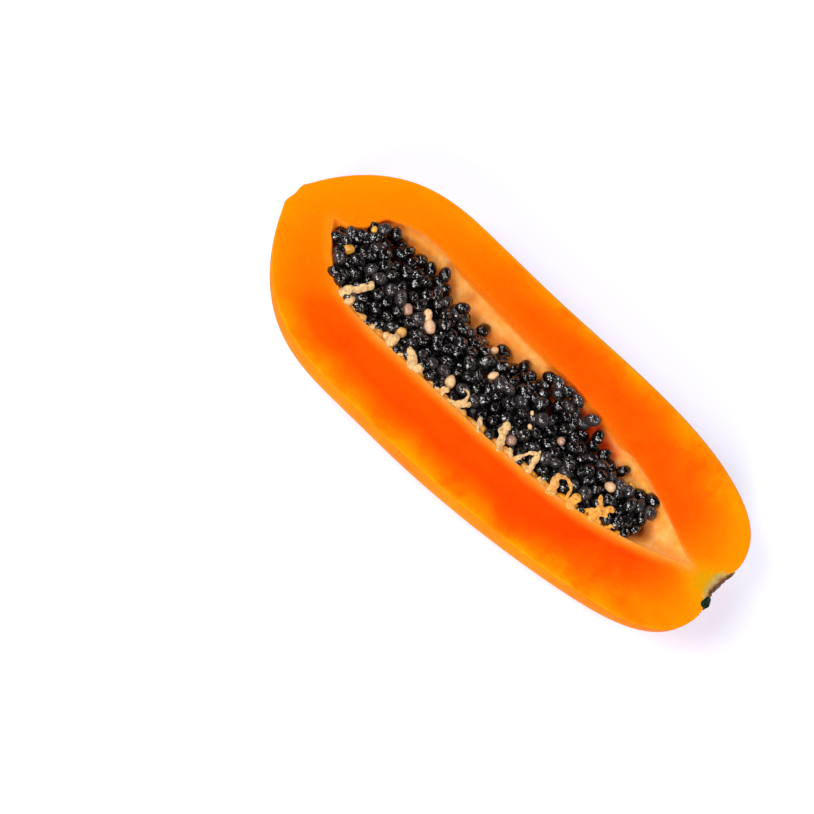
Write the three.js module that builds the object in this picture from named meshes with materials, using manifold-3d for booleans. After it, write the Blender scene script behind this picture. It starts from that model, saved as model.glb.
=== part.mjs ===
// Half of a ripe papaya, cut lengthwise and lying on its skin with the cut face up: the fruit with its open
// seed cavity, the heap of seeds, the pale placenta strands along one side of it, and the stub of the stem.
// Millimetres. +X runs from the blossom end to the stem end, +Z is up, and the origin is under the middle.
import * as THREE from "three";
import { mergeVertices } from "three/addons/utils/BufferGeometryUtils.js";
import Module from "manifold-3d";

const wasm = await Module();
wasm.setup();

// ---- The fruit: a round body whose radius and centre follow the distance s from the blossom tip ----
const LENGTH = 234;
const BODY_RADIUS = 48;
const REST_DEPTH = 1; // the flat spot that the fruit rests on is this deep in the round skin
const CUT_HEIGHT = BODY_RADIUS - REST_DEPTH;
const BLOSSOM_TAPER = 72; // length over which the blossom end closes, from BLUNTNESS before the tip
const BLOSSOM_POWERS = [3, 0.82];
const BLUNTNESS = 1;
const STEM_TAPER = 134; // length over which the stem end closes
const STEM_POWERS = [2.75, 0.25];
const BEND = 5.2; // how far the stem half lies to the side of the blossom half
const BEND_START = 95;
const BEND_END = 205;
const BLOSSOM_CENTRE_Y = -1.6; // with the bend, this centres the outline over the origin
const RIB_DEPTH = 0.01; // five faint ribs, as a share of the radius
const BLOSSOM_SCAR_RADIUS = 6;
const BLOSSOM_SCAR_DEPTH = 0.9;
const STEM_DIMPLE_RADIUS = 14;
const STEM_DIMPLE_DEPTH = 3.8;

// ---- The seed cavity, centred on a straight line in the cut face ----
const CAVITY_START = 19.6;
const CAVITY_WIDEST = 56;
const CAVITY_END = 218;
const CAVITY_OPENING_POWER = 2.2; // how roundly it opens at the blossom end
const CAVITY_POWERS = [5, 1.2]; // how it closes at the stem end
const CAVITY_NARROWING = 0.12; // a steady narrowing to the stem end, as a share
const CAVITY_HALF_WIDTH = 23.3;
const CAVITY_Y = 2.95;
const CAVITY_DEPTH_RATIO = 0.8; // depth over half width
const CAVITY_LOBES = 0.06; // lengthwise ridges and grooves of the wall, as a share of its radius

// ---- The seeds, heaped against the -Y side of the cavity ----
const SEED_LONG = 3.4; // half length of a seed
const SEED_ROUND = 2.7; // half thickness
const SEED_SPREAD = 0.1; // how much the sizes differ, as a share
const SEED_PITCH = 5.5; // distance between neighbours in a row
const SEED_ROW = 5; // distance between rows
const SEED_JITTER = 1;
const SEED_LIFT = 0.7; // how much the seeds' heights differ, either way
const SEED_TILT = 0.8; // and how far their long axes dip, in radians
const SEED_LEAST_DEPTH = 3.4; // seeds lie only where the heap is at least this deep
const SEED_REACH = 0.93; // and no nearer to the rims than this share of the half width
const HEAP_CROWN = 0.8; // top of the heap over the cut face
const HEAP_DROP = 9; // its fall towards the +Y wall, from HEAP_CREST on
const HEAP_CREST = -0.15; // shares of the cavity's half width
const HEAP_EDGE = -0.6; // from here the heap also falls by HEAP_EDGE_DROP to the -Y rim
const HEAP_EDGE_DROP = 1.2;
// Where the fall to the +Y wall is less or more: distance from the blossom tip, length, share of the fall.
const HEAP_BULGES = [
  [54, 14, -0.55],
  [95, 18, 0.6],
  [135, 11, -0.7],
  [190, 6, -0.5],
];
const HEAP_START = 22; // the heap ends steeply, within HEAP_END_SLOPE of these two distances
const HEAP_END = 196;
const HEAP_END_SLOPE = 6;
const HEAP_END_DROP = 12;
const CORE_BELOW = 2.1; // the seeds stand this much out of the mass that they are sunk in

// ---- The placenta: a ridge along the -Y wall, and the strands that stand out of it over the seeds ----
const RIDGE_START = 40;
const RIDGE_END = 187;
const RIDGE_RADIUS = 1.6;
const RIDGE_INSET = 2.4; // distance of the ridge's centre from the rim
const RIDGE_BELOW = 3.2; // and below the cut face
const STRAND_INSET = 1.2;
const STRAND_BELOW = 1.5; // the strands' roots are this much below the cut face
const STRAND_RISE = 3.2;
// Root's distance from the blossom tip, length, lean to the stem end and turn in degrees, root and tip
// radius.
const STRANDS = [
  [44, 14, 30, 0, 1.5, 1.6],
  [48.5, 5, 5, 0, 1.5, 1.9],
  [71, 4.5, 0, 0, 1.1, 2.1],
  [82.5, 8, -42, 20, 1.7, 1.5],
  [86.5, 4.5, -10, 0, 1.6, 1.9],
  [99.5, 6, 0, 0, 0.9, 2.2],
  [103.5, 15, -35, 190, 0.9, 0.9],
  [105, 8, 50, 0, 1.2, 1.3],
  [119.5, 6, -37, 0, 1.4, 1.1],
  [131.5, 14.5, -25, 0, 1.5, 2.5],
  [136, 7.5, -43, 10, 1.2, 1],
  [139.5, 13, 30, -30, 1.1, 1],
  [146.5, 13, -15, -10, 1.4, 1.1],
  [157, 9.5, -25, 10, 2.2, 1.9],
  [157.5, 12, 20, 120, 1.6, 1.2],
  [167.3, 7, -14, 0, 2.4, 1.9],
  [178.5, 13, -33, 0, 2, 1],
  [178.5, 10.5, 15, 0, 2, 1.2],
  [178, 8, -55, 0, 1.6, 1],
  [185, 4, 0, 0, 1.2, 1],
];

// ---- The stub of the stem, torn off in the dimple of the stem end, with a lump of bark left on it ----
const STUB_RADIUS = 10.5;
const STUB_SUNK = 5.5;
const STUB_PROUD = 0.6;
const STUB_CENTRE_Y = 3.6;
const STUB_ROUGHNESS = 0.45;
const BARK_LUMP = [1.7, 2.9, 2.1]; // half sizes along X, Y and Z
const BARK_LUMP_PLACE = [231.9, -4.4, -2.3]; // distance from the blossom tip, y, height over the cut face

const GAP = 0.35; // between neighbouring solids
const MARGIN = 12; // how far a cutting shape reaches past what it cuts

// Park and Miller's generator: the same draw for the same seed, on any machine.
function randomStream(seed) {
  let state = seed;
  return () => {
    state = (state * 16807) % 2147483647;
    return state / 2147483647;
  };
}

const clamp01 = (t) => Math.min(1, Math.max(0, t));
const smooth = (t) => clamp01(t) ** 2 * (3 - 2 * clamp01(t));

// Falls from 1 to 0 as t goes from 0 to 1, by two powers: a higher first one keeps it full for longer,
// and a lower second one ends it more abruptly.
const closing = (t, [first, second]) => (1 - clamp01(t) ** first) ** second;

function bodyRadius(s) {
  const blossom = closing(1 - (s + BLUNTNESS) / BLOSSOM_TAPER, BLOSSOM_POWERS);
  const stem = closing(1 - (LENGTH - s) / STEM_TAPER, STEM_POWERS);
  return BODY_RADIUS * blossom * stem;
}

function bodyCentreY(s) {
  return BLOSSOM_CENTRE_Y + BEND * smooth((s - BEND_START) / (BEND_END - BEND_START));
}

function cavityHalfWidth(s) {
  if (s <= CAVITY_START || s >= CAVITY_END) return 0;
  if (s < CAVITY_WIDEST) {
    const before = (CAVITY_WIDEST - s) / (CAVITY_WIDEST - CAVITY_START);
    return CAVITY_HALF_WIDTH * (1 - before ** CAVITY_OPENING_POWER);
  }
  const u = (s - CAVITY_WIDEST) / (CAVITY_END - CAVITY_WIDEST);
  return CAVITY_HALF_WIDTH * (1 - CAVITY_NARROWING * u) * closing(u, CAVITY_POWERS);
}

// Height of the heap's surface over the cut face, at q from -1 at the -Y rim to 1 at the +Y rim.
function heapTop(s, q) {
  const change = (sum, [where, length, share]) => sum + share * Math.exp(-(((s - where) / length) ** 2));
  const fall = HEAP_DROP * (cavityHalfWidth(s) / CAVITY_HALF_WIDTH) * HEAP_BULGES.reduce(change, 1);
  const edge = Math.max(0, HEAP_EDGE - q) / (1 + HEAP_EDGE);
  const past = Math.max(0, HEAP_START + HEAP_END_SLOPE - s, s - HEAP_END + HEAP_END_SLOPE) / HEAP_END_SLOPE;
  const across = Math.max(0, q - HEAP_CREST);
  return HEAP_CROWN - fall * across ** 2 - HEAP_EDGE_DROP * edge ** 2 - HEAP_END_DROP * past ** 2;
}

// Depth of the cavity's wall under the cut face, at q.
const wallDepth = (s, q) => CAVITY_DEPTH_RATIO * cavityHalfWidth(s) * Math.sqrt(Math.max(0, 1 - q * q));

// A point from its distance to the blossom tip, its y, and its height over the cut face.
const place = (s, y, height) => new THREE.Vector3(s - LENGTH / 2, y, CUT_HEIGHT + height);

// A closed skin over rings of equally many points, each turning from +Y to +Z, with a point at each end.
function loft(rings, first, last) {
  const size = rings[0].length;
  const end = rings.length - 1;
  const points = [...rings.flat(), first, last];
  const firstIndex = rings.length * size;
  const faces = [];
  for (let j = 0; j < size; j += 1) {
    const next = (j + 1) % size;
    faces.push(firstIndex, next, j, firstIndex + 1, end * size + j, end * size + next);
    for (let i = 0; i < end; i += 1) {
      const a = i * size;
      faces.push(a + j, a + next, a + size + j, a + next, a + size + next, a + size + j);
    }
  }
  return new THREE.BufferGeometry().setFromPoints(points).setIndex(faces);
}

// Evenly spaced points along a polyline of [s, radius] pairs.
function evenlyAlong(line, count) {
  const reach = [0];
  for (let i = 1; i < line.length; i += 1) {
    reach.push(reach[i - 1] + Math.hypot(line[i][0] - line[i - 1][0], line[i][1] - line[i - 1][1]));
  }
  let i = 0;
  return Array.from({ length: count }, (_, k) => {
    const wanted = ((k + 0.5) / count) * reach.at(-1);
    while (reach[i + 1] < wanted) i += 1;
    const t = (wanted - reach[i]) / (reach[i + 1] - reach[i]);
    return [0, 1].map((axis) => line[i][axis] * (1 - t) + line[i + 1][axis] * t);
  });
}

function solidOf(geometry) {
  const bare = geometry.clone();
  bare.deleteAttribute("normal");
  bare.deleteAttribute("uv");
  const merged = mergeVertices(bare, 1e-4);
  return new wasm.Manifold(
    new wasm.Mesh({
      numProp: 3,
      vertProperties: new Float32Array(merged.attributes.position.array),
      triVerts: new Uint32Array(merged.index.array),
    }),
  );
}

function geometryOf(solid) {
  const { vertProperties, triVerts } = solid.getMesh();
  return new THREE.BufferGeometry()
    .setAttribute("position", new THREE.BufferAttribute(vertProperties, 3))
    .setIndex(new THREE.BufferAttribute(triVerts, 1));
}

const join = (solids) => solids.reduce((whole, solid) => whole.add(solid));
const largest = (solid) => solid.decompose().sort((a, b) => b.volume() - a.volume())[0];

function box(lowX, highX, lowY, highY, lowZ, highZ) {
  const shape = new THREE.BoxGeometry(highX - lowX, highY - lowY, highZ - lowZ);
  return solidOf(shape.translate((lowX + highX) / 2, (lowY + highY) / 2, (lowZ + highZ) / 2));
}

// ---- Fruit ----
const stemDimple = (radius) => STEM_DIMPLE_DEPTH * Math.max(0, 1 - (radius / STEM_DIMPLE_RADIUS) ** 2) ** 2;

// [s, radius] pairs from the middle of the blossom scar to the middle of the stem dimple.
function bodyProfile() {
  const steps = 4000;
  const line = [[BLOSSOM_SCAR_DEPTH, 0], [0, BLOSSOM_SCAR_RADIUS]];
  for (let i = 0; i <= steps; i += 1) {
    const s = (LENGTH * (1 - Math.cos((Math.PI * i) / steps))) / 2;
    const radius = bodyRadius(s);
    if (s > LENGTH / 2) line.push([s - stemDimple(radius), radius]);
    else if (radius > BLOSSOM_SCAR_RADIUS) line.push([s, radius]);
  }
  return line;
}

function halfBody() {
  const stations = evenlyAlong(bodyProfile(), 46);
  const around = 22;
  const rings = stations.map(([s, radius]) =>
    Array.from({ length: around + 1 }, (_, j) => {
      const turn = Math.PI * (1 + j / around);
      const r = radius * (1 + RIB_DEPTH * Math.cos(5 * turn));
      return place(s, bodyCentreY(s) + r * Math.cos(turn), r * Math.sin(turn));
    }),
  );
  const tip = place(BLOSSOM_SCAR_DEPTH, bodyCentreY(0), 0);
  const stem = place(LENGTH - STEM_DIMPLE_DEPTH, bodyCentreY(LENGTH), 0);
  return solidOf(loft(rings, tip, stem));
}

// The cavity as a solid, opened upwards past the cut face. A positive inset makes it smaller all round.
// Its stations stand closer together near both ends, and the last slivers there are left out.
function cavityShape(inset) {
  const [count, around, sliver] = [36, 14, 0.4];
  const stations = Array.from({ length: count }, (_, i) => {
    const t = (i + 0.5) / count;
    return CAVITY_START + (CAVITY_END - CAVITY_START) * (t - 0.11 * Math.sin(2 * Math.PI * t));
  }).filter((s) => cavityHalfWidth(s) > inset + sliver);
  const rings = stations.map((s) => {
    const radius = cavityHalfWidth(s) - inset;
    const bowl = Array.from({ length: around + 1 }, (_, j) => {
      const turn = Math.PI * (1 + j / around);
      const r = radius * (1 - CAVITY_LOBES * Math.sin(turn) * Math.cos(4 * turn));
      return place(s, CAVITY_Y + r * Math.cos(turn), CAVITY_DEPTH_RATIO * r * Math.sin(turn));
    });
    return [...bowl, place(s, CAVITY_Y + radius, MARGIN), place(s, CAVITY_Y - radius, MARGIN)];
  });
  const ends = [stations[0] - sliver, stations.at(-1) + sliver].map((s) => place(s, CAVITY_Y, MARGIN / 2));
  return solidOf(loft(rings, ...ends));
}

function fruitHalf() {
  const aboveFloor = box(-LENGTH, LENGTH, -LENGTH, LENGTH, 0, 2 * BODY_RADIUS);
  return largest(halfBody().subtract(cavityShape(0)).subtract(stemShape(GAP)).intersect(aboveFloor));
}

// ---- Seeds ----
// A seed as a long stone of few faces, its long axis turned by two angles.
function seedShape(centre, long, round, heading, tilt) {
  const turn = new THREE.Quaternion().setFromEuler(new THREE.Euler(0, -tilt, heading, "ZYX"));
  const matrix = new THREE.Matrix4().compose(centre, turn, new THREE.Vector3(long, round, round));
  return solidOf(new THREE.IcosahedronGeometry(1, 0).applyMatrix4(matrix));
}

// The top layer of seeds: staggered rows along the cavity, each seed a little out of its place.
function seedSolids() {
  const random = randomStream(4127);
  const eitherWay = (size) => size * (2 * random() - 1);
  const seeds = [];
  for (let row = -5; row <= 5; row += 1) {
    for (let s = CAVITY_START + (row & 1 ? SEED_PITCH / 2 : 0); s < CAVITY_END; s += SEED_PITCH) {
      const [along, across] = [s + eitherWay(SEED_JITTER), row * SEED_ROW + eitherWay(SEED_JITTER)];
      const lift = eitherWay(SEED_LIFT);
      const [long, round] = [SEED_LONG, SEED_ROUND].map((size) => size * (1 + eitherWay(SEED_SPREAD)));
      const [heading, tilt] = [Math.PI * random(), eitherWay(SEED_TILT)];
      const q = across / Math.max(1e-6, cavityHalfWidth(along));
      if (Math.abs(q) > SEED_REACH || wallDepth(along, q) + heapTop(along, q) < SEED_LEAST_DEPTH) continue;
      const centre = place(along, CAVITY_Y + across, heapTop(along, q) - SEED_ROUND + lift);
      seeds.push(seedShape(centre, long, round, heading, tilt));
    }
  }
  return seeds;
}

// The mass that the seeds are sunk in: everything under the heap's surface, less CORE_BELOW.
function heapCore() {
  const [steps, across] = [13, 5];
  const step = (HEAP_END - HEAP_START) / steps;
  const stations = Array.from({ length: steps + 1 }, (_, i) => HEAP_START + step * i);
  const rings = stations.map((s) => {
    const half = cavityHalfWidth(s) + GAP;
    const top = Array.from({ length: across + 1 }, (_, j) => {
      const q = 1 - (2 * j) / across;
      return place(s, CAVITY_Y + q * half, heapTop(s, q) - CORE_BELOW);
    });
    return [place(s, CAVITY_Y - half, -BODY_RADIUS), place(s, CAVITY_Y + half, -BODY_RADIUS), ...top];
  });
  const ends = [stations[0] - 0.1, stations.at(-1) + 0.1].map((s) => place(s, CAVITY_Y, -BODY_RADIUS / 2));
  return solidOf(loft(rings, ...ends));
}

function seedHeap() {
  const room = cavityShape(GAP);
  return largest(join([heapCore(), ...seedSolids()]).intersect(room).subtract(placentaShape(GAP)));
}

// ---- Placenta ----
// A round tube of few sides along a list of points, with its own radius at each point.
function tube(points, radii, sides) {
  const up = new THREE.Vector3(0, 0, 1);
  const rings = points.map((point, i) => {
    const next = points[Math.min(i + 1, points.length - 1)];
    const ahead = next.clone().sub(points[Math.max(i - 1, 0)]).normalize();
    const side = new THREE.Vector3().crossVectors(up, ahead).normalize();
    const over = new THREE.Vector3().crossVectors(ahead, side);
    return Array.from({ length: sides }, (_, j) => {
      const turn = (2 * Math.PI * j) / sides;
      return point
        .clone()
        .addScaledVector(side, radii[i] * Math.cos(turn))
        .addScaledVector(over, radii[i] * Math.sin(turn));
    });
  });
  return solidOf(loft(rings, points[0], points.at(-1)));
}

// A point inset from the -Y rim, and below the cut face.
const besideRim = (s, inset, below) => place(s, CAVITY_Y - cavityHalfWidth(s) + inset, -below);

// A strand bends up out of the ridge, lies over the seeds, may turn on its way, and has a rounded tip.
function strandShape([root, length, lean, turn, rootRadius, tipRadius], grow) {
  const steps = 5;
  const share = (i) => 1 - (1 - Math.min(1, i / steps)) ** 1.4;
  const point = besideRim(root, STRAND_INSET, STRAND_BELOW);
  const points = [];
  const radii = [];
  for (let i = 0; i <= steps; i += 1) {
    const t = share(i);
    const ahead = share(i + 1) - t;
    const rise = STRAND_RISE * Math.sin(0.62 * Math.PI * t);
    points.push(point.clone().add(new THREE.Vector3(0, 0, rise)));
    radii.push((rootRadius + (tipRadius - rootRadius) * t) * Math.sqrt(1 - 0.8 * t ** 12) + grow);
    const heading = THREE.MathUtils.degToRad(90 - lean - turn * (t + ahead / 2));
    point.x += length * ahead * Math.cos(heading);
    point.y += length * ahead * Math.sin(heading);
  }
  return tube(points, radii, 5);
}

function placentaShape(grow) {
  const steps = 17;
  const points = Array.from({ length: steps + 1 }, (_, i) =>
    besideRim(RIDGE_START + ((RIDGE_END - RIDGE_START) * i) / steps, RIDGE_INSET, RIDGE_BELOW),
  );
  const ridge = tube(points, points.map(() => RIDGE_RADIUS + grow), 6);
  return join([ridge, ...STRANDS.map((strand) => strandShape(strand, grow))]);
}

function placenta() {
  return largest(placentaShape(0).intersect(cavityShape(GAP)));
}

// ---- Stem stub ----
// A short plug in the stem end. Its torn outer end follows the dimple, and the knife has cut it off flat.
function stemShape(grow) {
  const random = randomStream(977);
  const around = 14;
  const floor = LENGTH - STEM_DIMPLE_DEPTH;
  const end = LENGTH + STUB_PROUD + grow;
  const torn = (share) => [end - stemDimple(share * STUB_RADIUS), share, STUB_ROUGHNESS];
  const stations = [
    [floor - STUB_SUNK - grow, 0.5, 0],
    [floor - 0.6 * STUB_SUNK, 0.85, 0],
    torn(1),
    torn(0.7),
    torn(0.35),
  ];
  const rings = stations.map(([s, share, roughness]) =>
    Array.from({ length: around + 1 }, (_, j) => {
      const turn = Math.PI * (1 + j / around);
      const radius = STUB_RADIUS * share + grow;
      const reach = s + roughness * (2 * random() - 1);
      return place(reach, STUB_CENTRE_Y + radius * Math.cos(turn), radius * Math.sin(turn));
    }),
  );
  const ends = [stations[0][0], floor + STUB_PROUD + grow].map((s) => place(s, STUB_CENTRE_Y, 0));
  return solidOf(loft(rings, ...ends)).add(barkLump(grow));
}

function barkLump(grow) {
  const size = new THREE.Vector3(...BARK_LUMP).addScalar(grow);
  const matrix = new THREE.Matrix4().compose(place(...BARK_LUMP_PLACE), new THREE.Quaternion(), size);
  return solidOf(new THREE.IcosahedronGeometry(1, 1).applyMatrix4(matrix));
}

// ---- The part ----
function piece(name, solid, color, roughness) {
  const material = new THREE.MeshStandardMaterial({ color, roughness, metalness: 0 });
  const mesh = new THREE.Mesh(geometryOf(solid), material);
  mesh.name = name;
  return mesh;
}

const papaya = new THREE.Group();
papaya.add(
  piece("fruit_half", fruitHalf(), 0xff7a0a, 0.4),
  piece("seeds", seedHeap(), 0x17141a, 0.2),
  piece("placenta", placenta(), 0xf3c776, 0.45),
  piece("stem_stub", stemShape(0), 0x5a5a2e, 0.7),
);

export default papaya;
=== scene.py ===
import bmesh
import bpy
import numpy as np
from mathutils import Matrix, Vector


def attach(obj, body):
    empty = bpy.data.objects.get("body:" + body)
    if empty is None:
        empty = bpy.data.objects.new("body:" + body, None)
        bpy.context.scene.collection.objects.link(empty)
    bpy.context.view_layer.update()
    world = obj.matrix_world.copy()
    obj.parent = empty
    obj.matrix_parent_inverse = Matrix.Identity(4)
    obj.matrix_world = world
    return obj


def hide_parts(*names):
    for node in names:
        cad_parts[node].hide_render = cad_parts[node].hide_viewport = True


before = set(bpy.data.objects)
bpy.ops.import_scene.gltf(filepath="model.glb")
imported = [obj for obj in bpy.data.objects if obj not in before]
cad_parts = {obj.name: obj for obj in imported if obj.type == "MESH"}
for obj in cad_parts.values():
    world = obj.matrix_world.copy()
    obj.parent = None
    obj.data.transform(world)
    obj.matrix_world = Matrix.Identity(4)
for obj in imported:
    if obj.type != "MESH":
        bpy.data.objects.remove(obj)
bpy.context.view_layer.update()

# ---- The fruit ----
# Half of a ripe papaya, cut lengthwise with a knife. Its waxy skin is half a millimetre thick and grows as
# one with the soft flesh, so both are one closed piece. Lengths are in millimetres: s runs from the blossom
# end's tip to the stem end, y across, and height is over the cut face.
LENGTH = 234.0
TRIM = 0.9955  # the ends are drawn in this much, to stay within the part's own length
BODY_RADIUS = 48.0
CUT_HEIGHT = 47.0
BLOSSOM_TAPER, BLUNTNESS = 72.0, 1.0  # the blossom end closes over this length, from a little before its tip
STEM_TAPER = 134.0  # and the stem end over this one
BEND, BEND_START, BEND_END = 5.2, 95.0, 205.0  # the stem half lies this far to the side of the blossom half
BLOSSOM_CENTRE_Y = -1.6
RIB_DEPTH, DENT_DEPTH = 0.01, 0.35  # the ribs' is a share of the radius
BLOSSOM_SCAR_RADIUS = 6.0
BLOSSOM_SCAR_DEPTH = 0.9
STEM_DIMPLE_RADIUS = 14.0
STEM_DIMPLE_DEPTH = 3.8
CAVITY_START, CAVITY_WIDEST, CAVITY_END = 19.6, 56.0, 218.0
CAVITY_HALF_WIDTH = 23.3
CAVITY_NARROWING = 0.12  # a steady narrowing to the stem end, as a share
CAVITY_Y = 2.95
CAVITY_DEPTH_RATIO = 0.8
FLAP_WIDTH, FLAP_START, FLAP_END = 6.5, 30.5, 35.0
SKIN_EDGE = 0.5  # how round the knife left the edge of the skin
CAVITY_EDGE = 1.1  # and how round the flesh is where it turns down into the cavity


def closing(t, first, second):
    """Falls from 1 to 0 as t goes from 0 to 1: (1 - t^first)^second."""
    return (1 - np.clip(t, 0, 1) ** first) ** second


def smooth(t):
    """Rises softly from 0 to 1 as t does: 3t^2 - 2t^3."""
    t = np.clip(t, 0, 1)
    return t * t * (3 - 2 * t)


def body_radius(s):
    """The widest radius times how far each end has closed at s."""
    blossom_end = closing(1 - (s + BLUNTNESS) / BLOSSOM_TAPER, 3, 0.82)
    return BODY_RADIUS * blossom_end * closing(1 - (LENGTH - s) / STEM_TAPER, 2.75, 0.25)


def body_centre(s):
    """y of the body's middle: the stem half lies a little to the side of the blossom half."""
    return BLOSSOM_CENTRE_Y + BEND * smooth((s - BEND_START) / (BEND_END - BEND_START))


def cavity_half_width(s):
    """It opens roundly from its blossom end to its widest place, then narrows slowly and closes."""
    s = np.clip(s, CAVITY_START, CAVITY_END)
    opening = 1 - (np.clip(CAVITY_WIDEST - s, 0, None) / (CAVITY_WIDEST - CAVITY_START)) ** 2.2
    u = np.clip(s - CAVITY_WIDEST, 0, None) / (CAVITY_END - CAVITY_WIDEST)
    return CAVITY_HALF_WIDTH * opening * (1 - CAVITY_NARROWING * u) * closing(u, 5, 1.2)


def far_half_width(s):
    """The cavity's half width on the +y side: a flap of flesh covers the corner at its blossom end, and
    fades out from its start to its end."""
    width = cavity_half_width(s)
    flap_here = FLAP_WIDTH * (1 - smooth((s - FLAP_START) / (FLAP_END - FLAP_START)))
    return np.maximum(0.15 * width, width - flap_here)


def place(s, y, height):
    """Points in metres in the part's frame, from s, y and height in millimetres."""
    s, y, height = np.broadcast_arrays(s, y, height)
    return np.stack([s - LENGTH / 2, y, CUT_HEIGHT + height], axis=-1) / 1000


def grid_faces(rows, columns, flip=False):
    """Two triangles for each cell of a grid of points that is numbered row by row."""
    a = (np.arange(rows - 1)[:, None] * columns + np.arange(columns - 1)).ravel()
    b, c, d = a + 1, a + columns, a + columns + 1
    faces = np.concatenate([np.column_stack([a, c, b]), np.column_stack([b, c, d])])
    return faces[:, ::-1] if flip else faces


def welded(points, faces):
    """Joins points that lie within a micrometre of each other, and drops faces that this leaves with no
    area. Returns points, faces, which of the given points each one was, and which of the given faces are
    kept."""
    micrometres = np.round(points * 1e6).astype(np.int64)
    _, first, same = np.unique(micrometres, axis=0, return_index=True, return_inverse=True)
    faces = same.ravel()[faces]
    kept = (faces[:, 0] != faces[:, 1]) & (faces[:, 1] != faces[:, 2]) & (faces[:, 2] != faces[:, 0])
    return points[first], faces[kept], first, kept


def joined(parts):
    """Points and faces of several parts as one: each part's faces count on from the parts before it."""
    first = np.cumsum([0] + [len(points) for points, _ in parts])
    faces = [faces + start for (_, faces), start in zip(parts, first)]
    return np.concatenate([points for points, _ in parts]), np.concatenate(faces)


def new_mesh(name, points, faces, **attributes):
    """A smooth-shaded object at the origin, its faces turned outwards; each attribute is one number for each
    point."""
    mesh = bpy.data.meshes.new(name)
    mesh.from_pydata(points.tolist(), [], faces.tolist())
    turned = bmesh.new()
    turned.from_mesh(mesh)
    bmesh.ops.recalc_face_normals(turned, faces=turned.faces)
    turned.to_mesh(mesh)
    turned.free()
    for key, values in attributes.items():
        mesh.attributes.new(key, "FLOAT", "POINT").data.foreach_set("value", np.asarray(values, np.float32))
    mesh.polygons.foreach_set("use_smooth", np.ones(len(mesh.polygons), bool))
    made = bpy.data.objects.new(name, mesh)
    bpy.context.scene.collection.objects.link(made)
    return made


def outline(count):
    """Evenly spaced [s, radius] of the body's side, from the middle of the blossom scar to the stem
    dimple's."""
    s = LENGTH * (1 - np.cos(np.linspace(0, np.pi, 4001))) / 2
    radius = body_radius(s)
    dimple = STEM_DIMPLE_DEPTH * np.clip(1 - (radius / STEM_DIMPLE_RADIUS) ** 2, 0, 1) ** 2
    stem_half = s > LENGTH / 2
    side = np.column_stack([s - dimple * stem_half, radius])[stem_half | (radius > BLOSSOM_SCAR_RADIUS)]
    side = np.vstack([[BLOSSOM_SCAR_DEPTH, 0], [0, BLOSSOM_SCAR_RADIUS], side])
    reach = np.concatenate([[0], np.cumsum(np.hypot(*np.diff(side, axis=0).T))])
    wanted = np.linspace(0, reach[-1], count)
    side = np.column_stack([np.interp(wanted, reach, column) for column in side.T])
    for _ in range(6):  # wears the corners of both scars round
        side[1:-1] = (side[:-2] + 2 * side[1:-1] + side[2:]) / 4
    side[:, 0] = LENGTH / 2 + (side[:, 0] - LENGTH / 2) * TRIM
    side[[0, -1], 1] = 0
    return side


STATIONS = 321
body_s, radius = outline(STATIONS).T
centre = body_centre(body_s)
skin_edge = SKIN_EDGE * np.clip(radius / 4, 0, 1)

# The skin: half rings of points below the cut face, with faint ribs, five to a whole fruit, and soft dents.
AROUND = 120
turn = np.pi * (1 + np.arange(AROUND + 1) / AROUND)
s_grid, turn_grid = body_s[:, None], turn[None, :]
dents = 0.5 + 0.25 * np.sin(s_grid / 13 + 2 * turn_grid) + 0.25 * np.sin(s_grid / 7.3 - 5 * turn_grid + 1)
fade = np.sin(turn_grid) ** 2 * np.clip(radius[:, None] / 20, 0, 1)
ring_radius = radius[:, None] * (1 + RIB_DEPTH * np.cos(5 * turn_grid)) - DENT_DEPTH * dents * fade
skin_y = centre[:, None] + ring_radius * np.cos(turn_grid)
skin_height = np.minimum(ring_radius * np.sin(turn_grid), -skin_edge[:, None])
skin = place(s_grid, skin_y, np.maximum(skin_height, -CUT_HEIGHT))

# The cavity: a row of bowls, whose stations follow the body's and crowd at both ends. Two low ridges run
# along its wall, which ripples a little.
step = np.abs(np.diff(body_s)) + 0.05 * np.hypot(np.diff(body_s), np.diff(radius))
cavity_s = CAVITY_START + (CAVITY_END - CAVITY_START) * np.concatenate([[0], np.cumsum(step)]) / step.sum()
half_width, far_width = cavity_half_width(cavity_s), far_half_width(cavity_s)
half_width[[0, -1]] = far_width[[0, -1]] = 0
cavity_edge = CAVITY_EDGE * np.clip(half_width / 3, 0, 1)
WALL_AROUND = 60
turn = np.pi * (1 + np.arange(WALL_AROUND + 1) / WALL_AROUND)[None, :]
wall_radius = half_width[:, None] * (1 - 0.04 * np.sin(turn) * np.cos(4 * turn))
ripple = 0.12 * np.sin(cavity_s[:, None] / 2.9 + 4 * turn) * np.sin(cavity_s[:, None] / 7.7 - 3 * turn + 0.8)
wall_radius = wall_radius + ripple * np.sin(turn) ** 2 * np.clip(half_width[:, None] / 8, 0, 1)
flap = np.where(np.cos(turn) > 0, (far_width / np.maximum(half_width, 1e-6))[:, None], 1)
wall_y = CAVITY_Y + wall_radius * flap * np.cos(turn)
wall_height = (CAVITY_DEPTH_RATIO * wall_radius - cavity_edge[:, None]) * np.sin(turn) - cavity_edge[:, None]
wall = place(cavity_s[:, None], wall_y, wall_height)

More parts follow.
